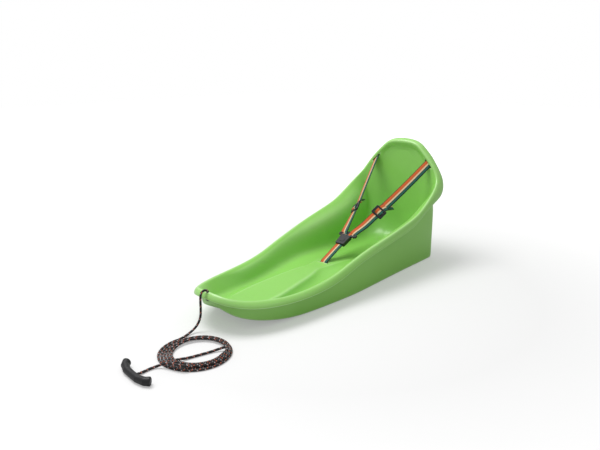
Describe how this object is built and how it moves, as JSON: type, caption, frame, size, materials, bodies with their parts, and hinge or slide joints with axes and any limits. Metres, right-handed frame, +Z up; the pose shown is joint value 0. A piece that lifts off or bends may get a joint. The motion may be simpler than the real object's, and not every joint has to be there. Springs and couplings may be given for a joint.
{
  "type": "child's plastic sled with harness and tow rope",
  "caption": "Moulded plastic tub sled for a small child, with rolled rim, raised headrest, webbing harness with buckle, and a tow rope with a pull grip",
  "frame": {"origin": "on the ground, at the bottom centre of the sled's bounding box without the tow rope", "axes": "+Z is up, the nose points to -Y, +X is the rider's left"},
  "size_m": [0.3266, 1.1017, 0.378],
  "materials": {
    "shell": "moulded polyethylene, light green, soft gloss",
    "webbing": "woven polyester webbing with orange, cream, teal and black stripes",
    "buckle": "moulded black acetal",
    "rope": "braided polypropylene cord, black with orange and white flecks",
    "grip": "moulded black plastic"
  },
  "bodies": {
    "root": {"sled_shell": "shell", "crotch_strap": "webbing", "shoulder_strap_left": "webbing", "shoulder_strap_right": "webbing", "lower_strap_left": "webbing", "lower_strap_right": "webbing", "buckle_socket": "buckle", "buckle_yoke": "buckle", "strap_adjuster_left": "buckle", "strap_adjuster_right": "buckle", "crotch_strap_stop": "buckle", "strap_stop_left": "buckle", "strap_stop_right": "buckle", "tow_rope_lead": "rope", "tow_rope_coil": "rope", "tow_rope_run": "rope", "tow_rope_knot": "rope", "pull_grip": "grip"}
  },
  "joints": []
}
